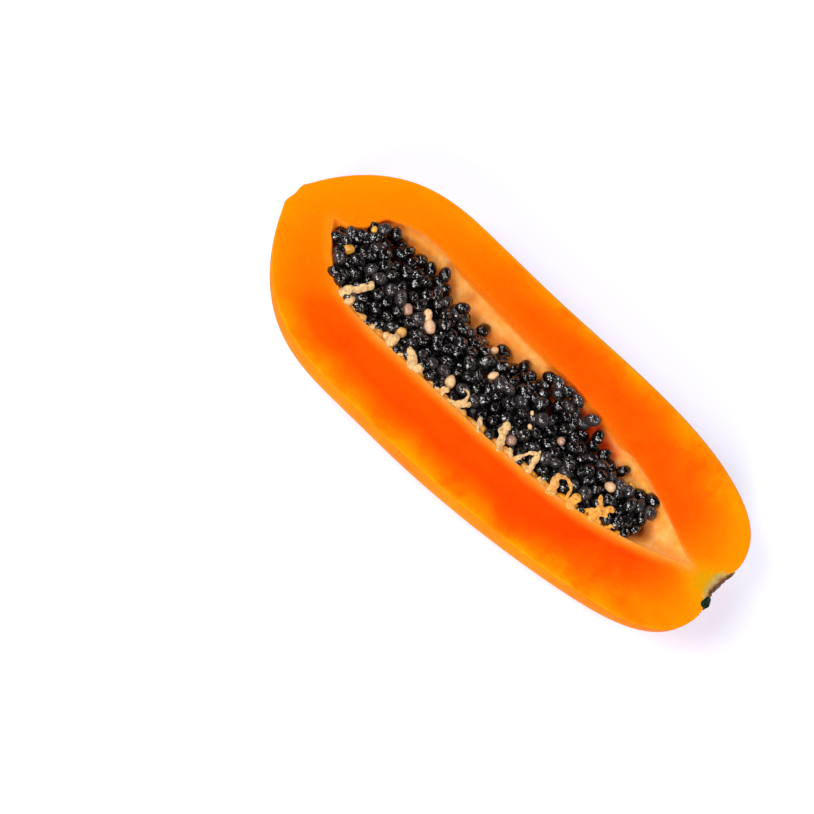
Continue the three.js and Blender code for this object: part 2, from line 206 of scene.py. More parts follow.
# The cut face, as one strip on each side of the cavity. Each line of it runs from the skin to the cavity's
# rim, and a quarter circle at each of its ends rounds it off.
arc = np.linspace(0, np.pi / 2, 5)
flat = np.linspace(0, 1, 22)[1:-1]
strips, strip_faces = [], []
for way, width in ((1, far_width), (-1, half_width)):
    outer = np.column_stack([body_s, centre + way * ring_radius[:, -1 if way > 0 else 0]])
    inner = np.column_stack([cavity_s, CAVITY_Y + way * width])
    line = inner - outer
    unit = line / np.linalg.norm(line, axis=1, keepdims=True)
    start = outer + unit * skin_edge[:, None]
    stop = inner - unit * cavity_edge[:, None]
    rounded = [outer + unit * (skin_edge * (1 - np.cos(a)))[:, None] for a in arc]
    rounded += [start + (stop - start) * share for share in flat]
    rounded += [inner - unit * (cavity_edge * (1 - np.sin(a)))[:, None] for a in arc]
    heights = [-skin_edge * (1 - np.sin(a)) for a in arc] + [0 * skin_edge for share in flat]
    heights += [-cavity_edge * (1 - np.cos(a)) for a in arc]
    flat_points = np.stack(rounded, axis=1)
    strips.append(place(flat_points[..., 0], flat_points[..., 1], np.stack(heights, axis=1)))
    strip_faces.append(grid_faces(STATIONS, len(rounded), flip=way > 0))


def nearest(points, line):
    """Distance in millimetres of each point from the nearest of the line's, seen from above."""
    gap = points.reshape(-1, 1, 3)[..., :2] - line.reshape(1, -1, 3)[..., :2]
    return 1000 * np.sqrt((gap**2).sum(axis=-1)).min(axis=1)


# Each point of the flesh knows how far it is from the skin and from the cavity's rim, which sets its colour.
# Points of the wall count down from the rim, so their distance from it is negative.
skin_line = np.concatenate([skin[:, 0], skin[:, -1]])
rim_line = np.concatenate([wall[:, 0], wall[:, -1]])
sheets = [skin, wall] + strips
from_skin = [np.zeros(skin.size // 3), np.full(wall.size // 3, 20.0)]
from_rim = [np.full(skin.size // 3, 20.0), wall_height.ravel()]
for strip in strips:
    from_skin.append(nearest(strip, skin_line))
    from_rim.append(nearest(strip, rim_line))
sheet_faces = [grid_faces(STATIONS, AROUND + 1, flip=True), grid_faces(STATIONS, WALL_AROUND + 1)]
sheet_faces += strip_faces
finish = np.concatenate([np.full(len(faces), int(i > 0)) for i, faces in enumerate(sheet_faces)])
points, faces = joined([(sheet.reshape(-1, 3), faces) for sheet, faces in zip(sheets, sheet_faces)])
points, faces, kept_points, kept_faces = welded(points, faces)
fruit = new_mesh(
    "papaya_half", points, faces,
    from_skin=np.concatenate(from_skin)[kept_points],
    from_rim=np.concatenate(from_rim)[kept_points],
)
fruit.data.polygons.foreach_set("material_index", finish[kept_faces].astype(np.int32))


def linear(hex_colour):
    """A shader's linear colour from an sRGB hex one."""
    srgb = np.array([int(hex_colour[i : i + 2], 16) for i in (1, 3, 5)]) / 255
    return (*np.where(srgb <= 0.04045, srgb / 12.92, ((srgb + 0.055) / 1.055) ** 2.4), 1.0)


def add(tree, kind, inputs=(), stops=None, **settings):
    """Adds a shader node. Its inputs go by name or number, or in the sockets' order. Each is a value, a hex
    colour, or a node or an output to link it to: of a node, the first output in use. A MapRange's inputs are
    its value, where that starts and stops, and what the node gives there. Stops are a colour ramp's places
    and hex colours."""
    made = tree.nodes.new("ShaderNode" + kind)
    for key, value in settings.items():
        setattr(made, key, value)
    for key, value in inputs.items() if isinstance(inputs, dict) else enumerate(inputs):
        if isinstance(value, bpy.types.Node):
            value = next(output for output in value.outputs if output.enabled)
        if isinstance(value, bpy.types.NodeSocket):
            tree.links.new(value, made.inputs[key])
        else:
            made.inputs[key].default_value = linear(value) if isinstance(value, str) else value
    if stops:
        ramp = made.color_ramp
        while len(ramp.elements) < len(stops):
            ramp.elements.new(1)
        for element, (where, colour) in zip(ramp.elements, stops):
            element.position = where
            element.color = linear(colour)
    return made


def new_material(name, piece):
    """Gives a piece a material with an empty node tree. Returns the tree and the place in the piece, in
    metres."""
    made = bpy.data.materials.new(name)
    made.use_nodes = True
    made.node_tree.nodes.clear()
    piece.data.materials.append(made)
    return made.node_tree, add(made.node_tree, "TexCoord").outputs["Object"]


# Papaya skin: a thin waxy peel with a soft satin shine. The eye sees yellow-orange with broad deeper
# blotches and fine pale pores.
tree, spot = new_material("papaya skin, waxy", fruit)
blotches = add(tree, "TexNoise", {"Vector": spot, "Scale": 28, "Detail": 4, "Roughness": 0.55})
colour = add(tree, "ValToRGB", [blotches], stops=[(0.3, "#eb7000"), (0.5, "#f47d00"), (0.72, "#fa8b00")])
pores = add(tree, "TexVoronoi", {"Vector": spot, "Scale": 420})
pores = add(tree, "MapRange", [pores, 0.12, 0.3, 0.2, 0])
colour = add(tree, "Mix", {0: pores, 6: colour, 7: "#ffb43a"}, data_type="RGBA")
grain = add(tree, "TexNoise", {"Vector": spot, "Scale": 900, "Detail": 3})
rough = add(tree, "MapRange", [blotches, 0, 1, 0.4, 0.56])
bump = add(tree, "Bump", {"Height": grain, "Strength": 0.25, "Distance": 0.0002})
bump = add(tree, "Bump", {"Height": pores, "Normal": bump, "Strength": 0.3, "Distance": 0.0002})
shader = add(tree, "BsdfPrincipled", {
    "Base Color": colour, "Roughness": rough, "Normal": bump, "IOR": 1.4, "Specular IOR Level": 0.01,
    "Subsurface Weight": 0.15, "Subsurface Scale": 0.002, "Subsurface Radius": (1, 0.4, 0.1)})
add(tree, "OutputMaterial", [shader])

# Papaya flesh: soft, wet and slightly see-through. The eye sees yellow-orange under the skin turning to
# red-orange towards the cavity, faint fibres that run across, a pale rim and a pale, blotchy salmon wall.
tree, spot = new_material("papaya flesh, ripe", fruit)
x, y, _ = add(tree, "SeparateXYZ", [spot]).outputs
skin_gap = add(tree, "Attribute", attribute_name="from_skin").outputs["Fac"]
rim_gap = add(tree, "Attribute", attribute_name="from_rim").outputs["Fac"]
far = add(tree, "MapRange", [y, 0, 0.007])  # 1 on the +y side
wander = add(tree, "TexNoise", {"Vector": spot, "Scale": 45, "Detail": 3, "Roughness": 0.5})
wander = add(tree, "Math", [wander, 0.5], operation="SUBTRACT")
fibres = add(tree, "Mapping", {"Vector": spot, "Scale": (1, 0.22, 1)})
fibres = add(tree, "TexNoise", {"Vector": fibres, "Scale": 330, "Detail": 3, "Roughness": 0.55})


def wavering_ellipsoid(middle, half_sizes, share, waver, start, stop):
    """A soft-edged place in the flesh: its share falls to 0 from start to stop, as parts of an ellipsoid's
    half sizes in metres, and its edge wavers."""
    middle, half_sizes = np.array(middle), np.array(half_sizes)
    inside = add(tree, "Mapping", {"Vector": spot, "Location": -middle / half_sizes, "Scale": 1 / half_sizes})
    reached = add(tree, "VectorMath", [inside], operation="LENGTH")
    reached = add(tree, "Math", [wander, waver, reached], operation="MULTIPLY_ADD")
    return add(tree, "MapRange", [reached, start, stop, share, 0], interpolation_type="SMOOTHSTEP")


# From yellow-orange to red-orange over 20 mm of depth. The yellow under the skin reaches deeper towards the
# stem end.
reach = add(tree, "MapRange", [x, 0.045, 0.07, 1, 0.5])
depth = add(tree, "Math", [skin_gap, reach], operation="MULTIPLY")
depth = add(tree, "Math", [wander, 11, depth], operation="MULTIPLY_ADD")
depth = add(tree, "Math", [fibres, 3, depth], operation="MULTIPLY_ADD")
depth = add(tree, "Math", [depth, -1.5], operation="ADD")
depth = add(tree, "Math", [depth, 20], operation="DIVIDE")
deeper = add(tree, "MapRange", [depth, 0.2, 0.65])
flesh_colour = add(tree, "ValToRGB", [depth], stops=[
    (0, "#ff9200"), (0.12, "#ff7f00"), (0.28, "#ff6b00"),
    (0.45, "#ff5b00"), (0.68, "#ff4c00"), (1, "#ff5400")])
# The stem half is redder, deep in the flesh, and most of all on the -y side.
redder = add(tree, "MapRange", [x, -0.05, 0.06])
redder = add(tree, "Math", [redder, deeper], operation="MULTIPLY")
by_side = add(tree, "MapRange", [y, -0.01, 0.02, 0.62, 0.22])
redder = add(tree, "Math", [redder, by_side], operation="MULTIPLY")
# The +y side is a little yellower, deep in the flesh.
yellower = add(tree, "Math", [far, deeper], operation="MULTIPLY")
yellower = add(tree, "Math", [yellower, 0.2], operation="MULTIPLY")
# Small red blotches show where the flesh is ripest.
blotches = add(tree, "TexNoise", {"Vector": spot, "Scale": 95, "Detail": 3, "Roughness": 0.6})
blotches = add(tree, "MapRange", [blotches, 0.5, 0.68, 0, 0.4])
# On the +y side the knife's edge of the skin is a thin, duller line.
knife_edge = add(tree, "MapRange", [skin_gap, 0.7, 1.6, 0.9, 0])
knife_edge = add(tree, "Math", [far, knife_edge], operation="MULTIPLY")
# The flesh is yellower towards the blossom end, more so on the +y side, and towards the stem end. Round the
# stem's stub it turns ochre and olive.
aslant = add(tree, "Math", [y, -0.6, x], operation="MULTIPLY_ADD")
blossom = add(tree, "MapRange", [aslant, -0.115, -0.03, 0.83, 0])
stem_zone = add(tree, "MapRange", [x, 0.083, 0.113, 0, 0.8])
by_stub = wavering_ellipsoid((0.113, 0.0036, 0.047), (0.025, 0.014, 0.014), 0.95, 1.4, 0.35, 1.05)
# The cut face is more orange along the rim. The +y wall's upper edge, which turns away from the light, is
# painted paler than the face above it: painted light that offsets the shade it falls in.
warm_side = add(tree, "MapRange", [far, 0, 1, 0.55, 0.12])
warm = add(tree, "MapRange", [rim_gap, 0, 5.5, warm_side, 0], interpolation_type="SMOOTHSTEP")
painted_light_upper_edge = add(tree, "MapRange", [rim_gap, -1.6, 0.3, 0.45, 0])
painted_light_upper_edge = add(tree, "Math", [painted_light_upper_edge, far], operation="MULTIPLY")
for share, tint in (
        (redder, "#ff3a00"), (yellower, "#ff7c00"), (blotches, "#ff4200"), (knife_edge, "#d08b1a"),
        (blossom, "#ff8c00"), (stem_zone, "#fb8c00"), (by_stub, "#d99606"), (warm, "#ff7e10"),
        (painted_light_upper_edge, "#ff9a20")):
    flesh_colour = add(tree, "Mix", {0: share, 6: flesh_colour, 7: tint}, data_type="RGBA")
# The cavity's wall is more orange at the blossom end, redder and darker deep down, which is painted shade
# for the shade among the seeds there, and yellower at the rim.
wall_noise = add(tree, "TexNoise", {"Vector": spot, "Scale": 160, "Detail": 4, "Roughness": 0.6})
wall_colour = add(tree, "ValToRGB", [wall_noise], stops=[
    (0.3, "#ff9a3a"), (0.5, "#ffa852"), (0.68, "#ffb96c")])
orange = add(tree, "MapRange", [x, -0.088, -0.056, 0.95, 0])
painted_shade_deep_down = add(tree, "MapRange", [rim_gap, -13, -6, 0.35, 0])
at_rim = add(tree, "MapRange", [rim_gap, -0.5, 3, 0, 0.9])
for share, tint in ((orange, "#ff8a14"), (painted_shade_deep_down, "#e65a10"), (at_rim, "#ff9014")):
    wall_colour = add(tree, "Mix", {0: share, 6: wall_colour, 7: tint}, data_type="RGBA")
# On the -y side the wall's pale colour fades out over 6 mm of the cut face. On the +y side it ends sharply:
# at the rim near both ends, and 4 mm below it between them.
rim_place = add(tree, "Math", [wander, 2.5, rim_gap], operation="MULTIPLY_ADD")
near_share = add(tree, "MapRange", [rim_place, -1.5, 6.5, 1, 0], interpolation_type="SMOOTHSTEP")
lower_start = add(tree, "MapRange", [x, -0.058, -0.044, 0, 4.2], interpolation_type="SMOOTHSTEP")
lower_stop = add(tree, "MapRange", [x, 0.048, 0.056, 0, 4.2], interpolation_type="SMOOTHSTEP")
lower = add(tree, "Math", [lower_start, lower_stop], operation="SUBTRACT")
far_place = add(tree, "Math", [rim_place, lower], operation="ADD")
far_share = add(tree, "MapRange", [far_place, -1.8, 0.9, 1, 0], interpolation_type="SMOOTHSTEP")
wall_share = add(tree, "Mix", {0: far, 2: near_share, 3: far_share})
colour = add(tree, "Mix", {0: wall_share, 6: flesh_colour, 7: wall_colour}, data_type="RGBA")
# Painted shade: dark red shade is painted on the wall where the seeds lie against it, along the +y side, at
# the heap's stem end and in the corner by the flap. The last place is a redder patch in the -y flesh.
for middle, half_sizes, most, tint in (
        ((0.033, 0.0175, 0.0395), (0.023, 0.008, 0.0082), 0.9, "#d23206"),
        ((0.0745, 0.0015, 0.041), (0.0095, 0.0095, 0.0095), 0.85, "#8a2604"),
        ((-0.08, 0.0172, 0.0445), (0.0065, 0.0042, 0.0042), 0.7, "#d83808"),
        ((-0.069, -0.0305, 0.047), (0.019, 0.0125, 0.0125), 0.36, "#ff3000")):
    painted_shade_and_red_patch = wavering_ellipsoid(middle, half_sizes, most, 1.2, 0.45, 0.95)
    colour = add(tree, "Mix", {0: painted_shade_and_red_patch, 6: colour, 7: tint}, data_type="RGBA")
# Wet, broken cells speckle and roughen the surface. The wall is more see-through than the cut face.
cells = add(tree, "TexNoise", {"Vector": spot, "Scale": 700, "Detail": 4, "Roughness": 0.6})
speckle = add(tree, "MapRange", [cells, 0.3, 0.7, 0.93, 1.05])
colour = add(tree, "HueSaturation", {"Color": colour, "Value": speckle})
bump = add(tree, "Bump", {"Height": cells, "Strength": 0.35, "Distance": 0.0003})
bump = add(tree, "Bump", {"Height": wall_noise, "Normal": bump, "Strength": 0.25, "Distance": 0.0008})
see_through = add(tree, "MapRange", [rim_gap, -3, 2, 0.75, 0.35])
light_reach = add(tree, "MapRange", [rim_gap, -4, 1, 0.009, 0.004])
shader = add(tree, "BsdfPrincipled", {
    "Base Color": colour, "Roughness": 0.38, "Normal": bump, "IOR": 1.38, "Specular IOR Level": 0.05,
    "Subsurface Weight": see_through, "Subsurface Scale": light_reach,
    "Subsurface Radius": (1, 0.35, 0.08)})
add(tree, "OutputMaterial", [shader])

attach(fruit, "root")
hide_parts("fruit_half")

# ---- The seeds ----
# Several hundred black, ovoid seeds, each in a thin see-through coat of jelly. They lie heaped in the cavity
# as they grew, held together only by their wet coats, with a few pale ones that never ripened.
SEED_LONG, SEED_ROUND = 3.4, 2.7  # half its length and half its thickness
SEED_SIDES, SEED_RINGS = 8, 5
SEED_PITCH, ROW_PITCH = 5.5, 5.0
UNDER_LAYER_DEPTH = 4.2
SEED_SPREAD = 0.1  # how much the sizes differ, as a share
SEED_JITTER, SEED_LIFT, SEED_TILT = 1.0, 0.7, 0.8  # how far out of place they are, either way
SEED_LEAST_DEPTH, SEED_REACH = 3.4, 0.93  # of the heap under a seed, and from the middle to a rim
HEAP_START, HEAP_END, HEAP_END_SLOPE, HEAP_END_DROP = 22.0, 196.0, 6.0, 12.0
HEAP_CROWN, HEAP_CREST, HEAP_DROP = 0.8, -0.15, 9.0
HEAP_EDGE, HEAP_EDGE_DROP = -0.6, 1.2
HEAP_BULGES = ((54, 14, -0.55), (95, 18, 0.6), (135, 11, -0.7), (190, 6, -0.5))


def heap_top(s, q):
    """Height of the heap's surface at q, from -1 at one rim to 1 at the other: a crown that falls away to
    the +y wall with the square of the distance, more or less so at each bulge, a little to the other rim,
    and steeply at both ends."""
    bulges = sum(share * np.exp(-(((s - where) / long) ** 2)) for where, long, share in HEAP_BULGES)
    fall = HEAP_DROP * cavity_half_width(s) / CAVITY_HALF_WIDTH * (1 + bulges)
    fall = fall * np.maximum(0, q - HEAP_CREST) ** 2
    past = np.maximum(HEAP_START - s, s - HEAP_END) + HEAP_END_SLOPE
    past = np.maximum(0, past) / HEAP_END_SLOPE
    edge = np.maximum(0, HEAP_EDGE - q) / (1 + HEAP_EDGE)
    return HEAP_CROWN - fall - HEAP_EDGE_DROP * edge**2 - HEAP_END_DROP * past**2


def wall_below(s, q):
    """Depth of the cavity's wall at q, from an ellipse across it."""
    return CAVITY_DEPTH_RATIO * cavity_half_width(s) * np.sqrt(np.clip(1 - q * q, 0, None))


def random_stream(seed):
    """Draws from 0 to 1: each state is 16807 times the last one, modulo 2^31 - 1."""
    state = seed
    while True:
        state = state * 16807 % 2147483647
        yield state / 2147483647


def seed_layer(seed, offset, below):
    """Staggered rows of seeds, each a little out of its place. A row of the result is s, y, height, half
    length, half thickness, heading, tilt and a tone from 0 to 1."""
    draw = random_stream(seed)
    either_way = lambda size: size * (2 * next(draw) - 1)
    layer = []
    for row in range(-5, 6):
        s = CAVITY_START + offset + (SEED_PITCH / 2 if row % 2 else 0)
        while s < CAVITY_END:
            along, across = s + either_way(SEED_JITTER), row * ROW_PITCH + either_way(SEED_JITTER)
            lift = either_way(SEED_LIFT)
            long, thick = (size * (1 + either_way(SEED_SPREAD)) for size in (SEED_LONG, SEED_ROUND))
            heading, tilt = np.pi * next(draw), either_way(SEED_TILT)
            q = across / max(1e-6, float(cavity_half_width(along)))
            deep = wall_below(along, q) + heap_top(along, q)
            if abs(q) <= SEED_REACH and deep >= SEED_LEAST_DEPTH + below:
                relief = 0.8 * np.sin(along / 4.1 + 2.2 * q) * np.sin(3.3 * q + along / 9)
                height = heap_top(along, q) - SEED_ROUND + 1.4 * lift + relief - below
                tone = (s * 0.37 + row * 0.61) % 1
                layer.append((along, CAVITY_Y + across, height, long, thick, heading, tilt, tone))
            s += SEED_PITCH
    return np.array(layer)


def tube_faces(rings, sides):
    """Triangles of a tube whose points are numbered ring by ring, with a point for its start and one for its
    end after them."""
    this, ahead = np.arange(sides), (np.arange(sides) + 1) % sides
    row, last = np.arange(rings - 1)[:, None] * sides, (rings - 1) * sides
    a, b = (row + this).ravel(), (row + ahead).ravel()
    start, end = np.full(sides, rings * sides), np.full(sides, rings * sides + 1)
    return np.concatenate([
        np.column_stack([a, b, a + sides]), np.column_stack([b, b + sides, a + sides]),
        np.column_stack([ahead, this, start]), np.column_stack([last + this, last + ahead, end])])


def seed_mesh(layer):
    """Points, faces and tones of all seeds of a layer. One seed is rings of points about its long axis, at
    half lengths cos v and half thicknesses sin v, a little blunter at one end."""
    v = np.linspace(0, np.pi, SEED_RINGS + 2)[1:-1, None]
    around = 2 * np.pi * (np.arange(SEED_SIDES) + 0.5 * np.arange(SEED_RINGS)[:, None]) / SEED_SIDES
    wide = np.sin(v) * (1 - 0.1 * np.cos(v))
    ring = np.stack([np.cos(v) + 0 * around, wide * np.cos(around), wide * np.sin(around)], axis=-1)
    unit = np.vstack([ring.reshape(-1, 3), [[1, 0, 0], [-1, 0, 0]]])
    s, y, height, long, thick, heading, tilt, tone = layer.T
    axis = np.stack([np.cos(heading) * np.cos(tilt), np.sin(heading) * np.cos(tilt), np.sin(tilt)], axis=-1)
    aside = np.stack([-np.sin(heading), np.cos(heading), 0 * heading], axis=-1)
    phase = tone[:, None]
    lumps = 1 + 0.035 * np.sin(7 * unit[:, 0] + 40 * phase) + 0.03 * np.sin(5 * unit[:, 1] - 60 * phase)
    half_axes = [long[:, None] * axis, thick[:, None] * aside, thick[:, None] * np.cross(axis, aside)]
    points = place(s, y, height)[:, None] + (unit * lumps[..., None]) @ np.stack(half_axes, axis=1) / 1000
    faces = tube_faces(SEED_RINGS, SEED_SIDES)[:, ::-1] + len(unit) * np.arange(len(layer))[:, None, None]
    return points.reshape(-1, 3), faces.reshape(-1, 3), np.repeat(tone, len(unit))


def distance_from(s, across):
    """Of each seed of the top layer from a place, given as s and distance from the cavity's middle line."""
    return np.hypot(top_layer[:, 0] - s, top_layer[:, 1] - CAVITY_Y - across)


# The top layer: swollen or shrunk by up to an eighth, moved by less than a millimetre, and none under the
# flap.
top_layer = seed_layer(4127, 0.0, 0.0)
swell = 1 + 0.12 * np.sin(91 * top_layer[:, 7])
top_layer[:, 3:5] *= swell[:, None]
top_layer[:, 0] += 0.7 * np.sin(40 * top_layer[:, 7])
top_layer[:, 1] += 0.7 * np.cos(57 * top_layer[:, 7])
clear = top_layer[:, 1] - CAVITY_Y < far_half_width(top_layer[:, 0]) - 1.5
top_layer = top_layer[clear | (top_layer[:, 0] > FLAP_END)]
# Seeds that have fallen out of the heap's +y side, each the one nearest to a place.
for place_s, place_across in (
        (51.5, 19.6), (57.0, 20.3), (76.6, 15.3), (88.5, 14.0), (99.1, 15.3), (111.1, 16.2)):
    top_layer = np.delete(top_layer, distance_from(place_s, place_across).argmin(), axis=0)
# A few seeds lie in the narrow blossom end and over its rim, and some more against the +y rim: s, distance
# from the cavity's middle line, height, heading and tone.
LOOSE = (
    (25.6, -4.6, -1.2, 0.6, 0.3), (28.4, 0.4, -1.4, 2.3, 0.8), (30.6, -8.6, -0.8, 1.2, 0.5),
    (32.4, -11.4, 0.0, 2.6, 0.9), (35.6, -16.8, 0.1, 0.5, 0.2), (38.8, -17.4, -0.4, 1.9, 0.6),
    (32.0, 3.6, -1.2, 0.2, 0.7), (36.4, 11.9, -0.3, 1.1, 0.87), (41.0, 14.4, -0.8, 2.2, 0.4),
    (36.2, 6.2, -0.6, 0.9, 0.1), (29.0, -3.6, -0.4, 2.9, 0.6), (33.2, 10.2, -1.9, 0.4, 0.3),
    (33.9, 8.2, -0.2, 1.9, 0.5), (66.6, 17.0, -1.6, 2.2, 0.15), (81.3, 11.8, -1.6, 0.8, 0.4),
    (126.0, 17.2, -2.4, 0.3, 0.2), (130.2, 17.4, -1.4, 2.4, 0.93), (135.1, 17.6, -0.7, 0.9, 0.45),
    (140.2, 17.6, -0.9, 2.9, 0.8), (150.2, 16.4, -1.6, 0.6, 0.97), (156.4, 13.6, -3.2, 1.9, 0.3))
loose = [(s, CAVITY_Y + across, height, SEED_LONG, SEED_ROUND, heading, 0.3 * np.sin(9 * tone), tone)
         for s, across, height, heading, tone in LOOSE]
top_layer = np.vstack([top_layer, loose])
# Pale, unripe seeds: the seed nearest to each place, with its colour as a share from greyish pink to ochre
# and its size.
UNRIPE = (
    (70.0, -12.4, 0.72, 0.85), (65.2, -5.0, 0.12, 0.85), (74.8, 0.6, 0.55, 0.95), (79.2, -2.4, 0.36, 0.9),
    (131.5, -13.9, 0.0, 0.9), (146.6, 1.2, 0.05, 0.75), (173.0, 1.6, 0.42, 0.7), (32.7, -6.6, 1.0, 0.9),
    (99.4, 9.0, 0.5, 0.65), (110.2, 0.8, 0.5, 0.75), (180.0, 8.4, 0.8, 0.55), (71.6, -19.6, 0.62, 0.9),
    (99.5, -18.4, 0.48, 0.85), (130.6, -0.6, 0.55, 0.35), (131.8, -3.6, 0.55, 0.35), (33.9, 8.2, 0.75, 0.5))
unripe = np.zeros(len(top_layer), bool)
for place_s, place_across, tone, size in UNRIPE:
    chosen = (distance_from(place_s, place_across) + 99 * unripe).argmin()
    unripe[chosen] = True
    top_layer[chosen, 7] = tone
    top_layer[chosen, 3:5] *= size
    top_layer[chosen, 2] += 0.3 + 1.5 * (1 - size)
under_layer = seed_layer(977, SEED_PITCH / 2, UNDER_LAYER_DEPTH)
points, faces, tone = seed_mesh(np.vstack([top_layer[~unripe], under_layer]))
seeds = new_mesh("ripe_seeds", points, faces, tone=tone)
points, faces, tone = seed_mesh(top_layer[unripe])
unripe_seeds = new_mesh("unripe_seeds", points, faces, tone=tone)

# Papaya seed in its jelly coat: a hard, black, pimpled shell under clear wet jelly. The eye sees near-black
# with several small sharp highlights, and some coats that look grey-violet.
tree, spot = new_material("papaya seed in its jelly coat", seeds)
tone_node = add(tree, "Attribute", attribute_name="tone").outputs["Fac"]
folds = add(tree, "TexNoise", {"Vector": spot, "Scale": 420, "Detail": 2})
cloud = add(tree, "Math", [folds, 0.4, tone_node], operation="MULTIPLY_ADD")
colour = add(tree, "ValToRGB", [cloud], stops=[
    (0, "#020101"), (0.7, "#040303"), (0.95, "#0c090a"), (0.99, "#1a1516"), (1, "#2e2829")])
pimples = add(tree, "TexVoronoi", {"Vector": spot, "Scale": 900}, feature="SMOOTH_F1")
bump = add(tree, "Bump", {"Height": pimples, "Strength": 0.3, "Distance": 0.0004})
coat_bump = add(tree, "Bump", {"Height": folds, "Strength": 0.6, "Distance": 0.0014})
bump = add(tree, "Bump", {"Height": folds, "Normal": bump, "Strength": 0.5, "Distance": 0.001})
shader = add(tree, "BsdfPrincipled", {
    "Base Color": colour, "Roughness": 0.35, "Normal": bump, "IOR": 1.4, "Specular IOR Level": 0.05,
    "Coat Weight": 1, "Coat Roughness": 0.03, "Coat IOR": 1.65, "Coat Normal": coat_bump})
add(tree, "OutputMaterial", [shader])

# Unripe seed: a soft, empty coat with no shell in it. The eye sees a moist, waxy pink to ochre grain.
tree, spot = new_material("unripe papaya seed", unripe_seeds)
tone_node = add(tree, "Attribute", attribute_name="tone").outputs["Fac"]
mottle = add(tree, "TexNoise", {"Vector": spot, "Scale": 500, "Detail": 3})
shift = add(tree, "Math", [mottle, 0.35, tone_node], operation="MULTIPLY_ADD")
colour = add(tree, "ValToRGB", [shift], stops=[
    (0.15, "#a07868"), (0.45, "#d3a286"), (0.7, "#ecc08c"), (0.95, "#e0a548"), (1, "#c98a28")])
bump = add(tree, "Bump", {"Height": mottle, "Strength": 0.5, "Distance": 0.0008})
shader = add(tree, "BsdfPrincipled", {
    "Base Color": colour, "Roughness": 0.3, "Normal": bump, "IOR": 1.4, "Coat Weight": 0.5,
    "Coat Roughness": 0.1, "Subsurface Weight": 0.3, "Subsurface Scale": 0.001,
    "Subsurface Radius": (1, 0.6, 0.4)})
add(tree, "OutputMaterial", [shader])

# The wet mass under the seeds: coats, juice and seeds that nobody sees one by one; its dark colour is
# painted shade for the gaps between the seeds. It fills the cavity from just inside its wall up to a bumpy
# surface between the seeds.
MASS_BELOW, MASS_SIDE_DROP = 4.8, 4.0  # under the heap's top, and how much more at the +y wall
MASS_OVERLAP, MASS_LEAST = 2.3, 0.6  # how far into the wall it goes, and how thick it is at least
heap_s = np.linspace(HEAP_START, HEAP_END, 140)[:, None]
q = np.linspace(-0.94, 0.94, 40)[None, :]
below = wall_below(heap_s, q)
bumps = 0.5 * np.sin(heap_s * 1.15) * np.sin(q * 21)
surface = heap_top(heap_s, q) - MASS_BELOW - MASS_SIDE_DROP * smooth((q - 0.55) / 0.3) + bumps
surface = np.maximum(surface, -below - MASS_OVERLAP + MASS_LEAST)
mass_y = CAVITY_Y + q * cavity_half_width(heap_s)
upper, lower = place(heap_s, mass_y, surface), place(heap_s, mass_y, -below - MASS_OVERLAP)
rows, columns = surface.shape
size = rows * columns
ends = np.concatenate([np.arange(columns), np.arange(columns) + (rows - 1) * columns]).reshape(2, -1)
sides = np.stack([np.arange(rows) * columns, np.arange(rows) * columns + columns - 1])
shell = [grid_faces(rows, columns), grid_faces(rows, columns, flip=True) + size]
for edge, flip in ((ends[0], True), (ends[1], False), (sides[0], False), (sides[1], True)):
    a, b = edge[:-1], edge[1:]
    band = np.concatenate([np.column_stack([a, b, a + size]), np.column_stack([b, b + size, a + size])])
    shell.append(band[:, ::-1] if flip else band)
mass = new_mesh(
    "wet_seed_mass", np.concatenate([upper.reshape(-1, 3), lower.reshape(-1, 3)]), np.concatenate(shell),
    across=np.tile((q + 0 * heap_s).ravel(), 2),
)

# Seed jelly and juice, coloured with painted shade and painted reflected light: near-black painted shade
# where the seeds crowd, and red-brown towards the +y wall, painted as the flesh's red light bouncing into the
# gaps.
tree, spot = new_material("seed jelly and juice", mass)
lumps = add(tree, "TexNoise", {"Vector": spot, "Scale": 220, "Detail": 3})
across = add(tree, "Attribute", attribute_name="across").outputs["Fac"]
across = add(tree, "MapRange", [across, 0.1, 0.75, -0.45, 0.35])
painted_shade_and_bounce = add(tree, "Math", [lumps, across], operation="ADD")
colour = add(tree, "ValToRGB", [painted_shade_and_bounce], stops=[(0.2, "#050203"), (0.5, "#3a0c02"), (0.85, "#a83204")])
bump = add(tree, "Bump", {"Height": lumps, "Strength": 0.8, "Distance": 0.0015})
shader = add(tree, "BsdfPrincipled", {
    "Base Color": colour, "Roughness": 0.25, "Normal": bump, "IOR": 1.38, "Coat Weight": 0.6,
    "Coat Roughness": 0.1})
add(tree, "OutputMaterial", [shader])

for piece in (seeds, unripe_seeds, mass):
    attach(piece, "root")
    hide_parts("seeds")

